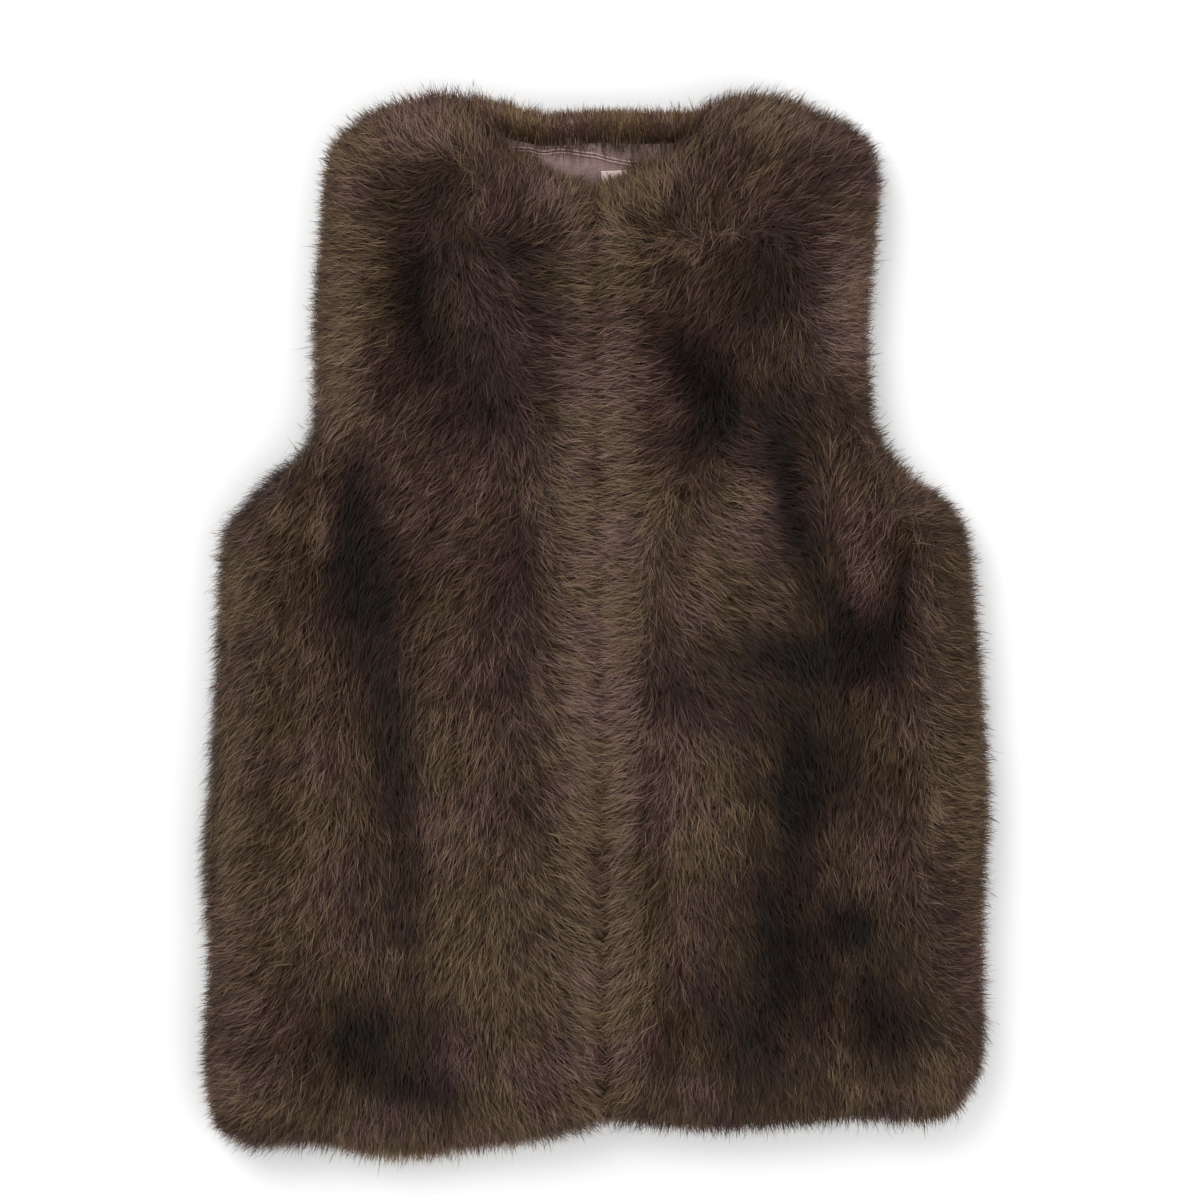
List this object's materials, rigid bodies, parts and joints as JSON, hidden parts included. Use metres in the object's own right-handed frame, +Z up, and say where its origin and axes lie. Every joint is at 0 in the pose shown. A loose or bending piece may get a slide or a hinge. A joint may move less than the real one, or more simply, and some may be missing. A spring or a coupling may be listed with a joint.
{
  "type": "faux fur vest",
  "caption": "Women's collarless sleeveless vest in long-pile brown faux fur with satin lining, laid flat with its fronts closed edge to edge.",
  "frame": {"origin": "on the floor under the middle of the vest's box", "axes": "+Y runs from the hem to the neck, +X to the viewer's right, which is the wearer's left, +Z up from the floor through the back to the fronts"},
  "size_m": [0.473, 0.6408, 0.0494],
  "materials": {
    "fur": "long soft modacrylic pile, dark brown roots and taupe tips",
    "satin": "mauve polyester satin with a soft sheen",
    "label": "pale pink woven satin label with nothing on it"
  },
  "bodies": {
    "root": {"back": "fur", "front_right": "fur", "front_left": "fur", "lining_back": "satin", "neck_facing": "satin", "label": "label"}
  },
  "joints": []
}
